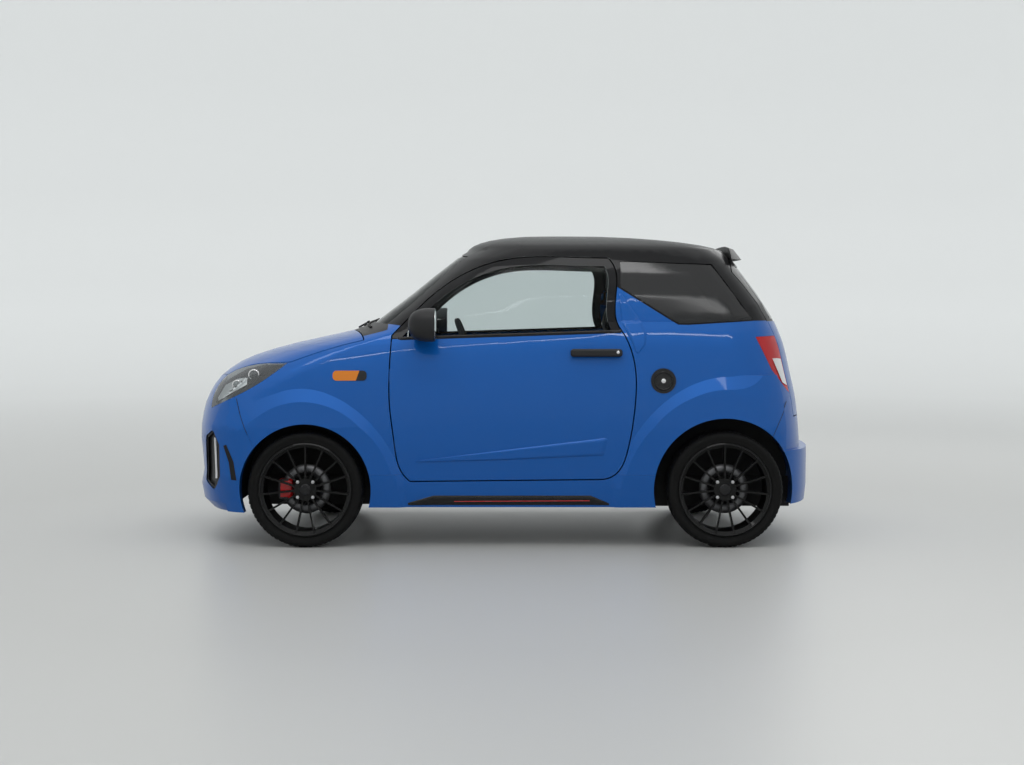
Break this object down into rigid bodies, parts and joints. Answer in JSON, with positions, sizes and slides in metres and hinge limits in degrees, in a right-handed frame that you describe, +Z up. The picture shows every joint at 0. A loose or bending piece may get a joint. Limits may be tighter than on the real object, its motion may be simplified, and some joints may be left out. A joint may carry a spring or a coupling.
{
  "type": "microcar",
  "caption": "Compact microcar with a hollow cabin, hinged doors, bonnet and tailgate, steered front wheels and many-spoked alloy wheels.",
  "frame": {"origin": "on the ground below the middle of the car", "axes": "+X forward, +Y to the car's left, +Z up"},
  "size_m": [3.0012, 1.78, 1.4724],
  "materials": {
    "paint": "gloss metallic",
    "paint_black": "gloss",
    "black_plastic": "satin",
    "glass": "gloss",
    "lamp_clear": "gloss",
    "lamp_red": "gloss",
    "lamp_amber": "gloss",
    "alloy": "gloss black",
    "tyre": "matte",
    "steel": "painted",
    "engine": "cast",
    "trim_dark": "grained",
    "upholstery": "woven",
    "floor": "satin"
  },
  "bodies": {
    "body": {"front_bumper": "paint", "grille": "black_plastic", "headlamps": "lamp_clear", "cowl": "black_plastic", "fender_left": "paint", "fender_right": "paint", "quarter_left": "paint", "quarter_right": "paint", "sills": "paint", "roof": "paint_black", "side_frame_left": "paint_black", "side_frame_right": "paint_black", "screen_rail": "black_plastic", "windscreen": "glass", "quarter_glass": "glass", "rear_bumper": "paint", "tail_lamps": "lamp_red", "side_indicators": "lamp_amber", "fuel_cap": "black_plastic", "floor_pan": "floor", "arch_liners": "black_plastic", "engine_block": "engine", "front_subframe": "steel", "rear_axle": "steel", "dashboard": "trim_dark", "seats": "upholstery", "parcel_shelf": "trim_dark"},
    "bonnet": {"bonnet": "paint"},
    "tailgate": {"tailgate": "paint", "tailgate_glass": "glass", "spoiler": "paint_black"},
    "steering_wheel": {"steering_wheel": "trim_dark"},
    "door_left": {"door_left": "paint", "door_glass_left": "glass", "handle_left": "black_plastic", "mirror_left": "black_plastic"},
    "knuckle_left": {"knuckle_left": "steel"},
    "wheel_front_left": {"tyre_front_left": "tyre", "rim_front_left": "alloy"},
    "wheel_rear_left": {"tyre_rear_left": "tyre", "rim_rear_left": "alloy"},
    "door_right": {"door_right": "paint", "door_glass_right": "glass", "handle_right": "black_plastic", "mirror_right": "black_plastic"},
    "knuckle_right": {"knuckle_right": "steel"},
    "wheel_front_right": {"tyre_front_right": "tyre", "rim_front_right": "alloy"},
    "wheel_rear_right": {"tyre_rear_right": "tyre", "rim_rear_right": "alloy"}
  },
  "joints": [
    {"name": "door_left_hinge", "type": "hinge", "parent": "body", "child": "door_left", "pos_m": [0.54, 0.748, 0.6], "axis": [0, 0.0872, -0.9962], "range_deg": [0, 65]},
    {"name": "door_right_hinge", "type": "hinge", "parent": "body", "child": "door_right", "pos_m": [0.54, -0.748, 0.6], "axis": [0, 0.0872, 0.9962], "range_deg": [0, 65]},
    {"name": "bonnet_hinge", "type": "hinge", "parent": "body", "child": "bonnet", "pos_m": [0.655, 0, 1], "axis": [0, -1, 0], "range_deg": [0, 55]},
    {"name": "tailgate_hinge", "type": "hinge", "parent": "body", "child": "tailgate", "pos_m": [-1.085, 0, 1.415], "axis": [0, 1, 0], "range_deg": [0, 78]},
    {"name": "steer_left", "type": "hinge", "parent": "body", "child": "knuckle_left", "pos_m": [0.926, 0.606, 0.27], "axis": [0, 0, 1], "range_deg": [-28, 28]},
    {"name": "wheel_front_left_spin", "type": "hinge", "parent": "knuckle_left", "child": "wheel_front_left", "pos_m": [0.926, 0.64, 0.269], "axis": [0, 1, 0], "continuous": true},
    {"name": "wheel_rear_left_spin", "type": "hinge", "parent": "body", "child": "wheel_rear_left", "pos_m": [-1.025, 0.64, 0.269], "axis": [0, 1, 0], "continuous": true},
    {"name": "steer_right", "type": "hinge", "parent": "body", "child": "knuckle_right", "pos_m": [0.926, -0.606, 0.27], "axis": [0, 0, 1], "range_deg": [-28, 28]},
    {"name": "wheel_front_right_spin", "type": "hinge", "parent": "knuckle_right", "child": "wheel_front_right", "pos_m": [0.926, -0.64, 0.269], "axis": [0, 1, 0], "continuous": true},
    {"name": "wheel_rear_right_spin", "type": "hinge", "parent": "body", "child": "wheel_rear_right", "pos_m": [-1.025, -0.64, 0.269], "axis": [0, 1, 0], "continuous": true},
    {"name": "steering_wheel_turn", "type": "hinge", "parent": "body", "child": "steering_wheel", "pos_m": [0.205, 0.32, 0.885], "axis": [-0.9292, 0, 0.3697], "range_deg": [-420, 420]}
  ],
  "couplings": [
    {"joint": "steer_right", "follows": "steer_left", "ratio": 1},
    {"joint": "steering_wheel_turn", "follows": "steer_left", "ratio": 15}
  ]
}
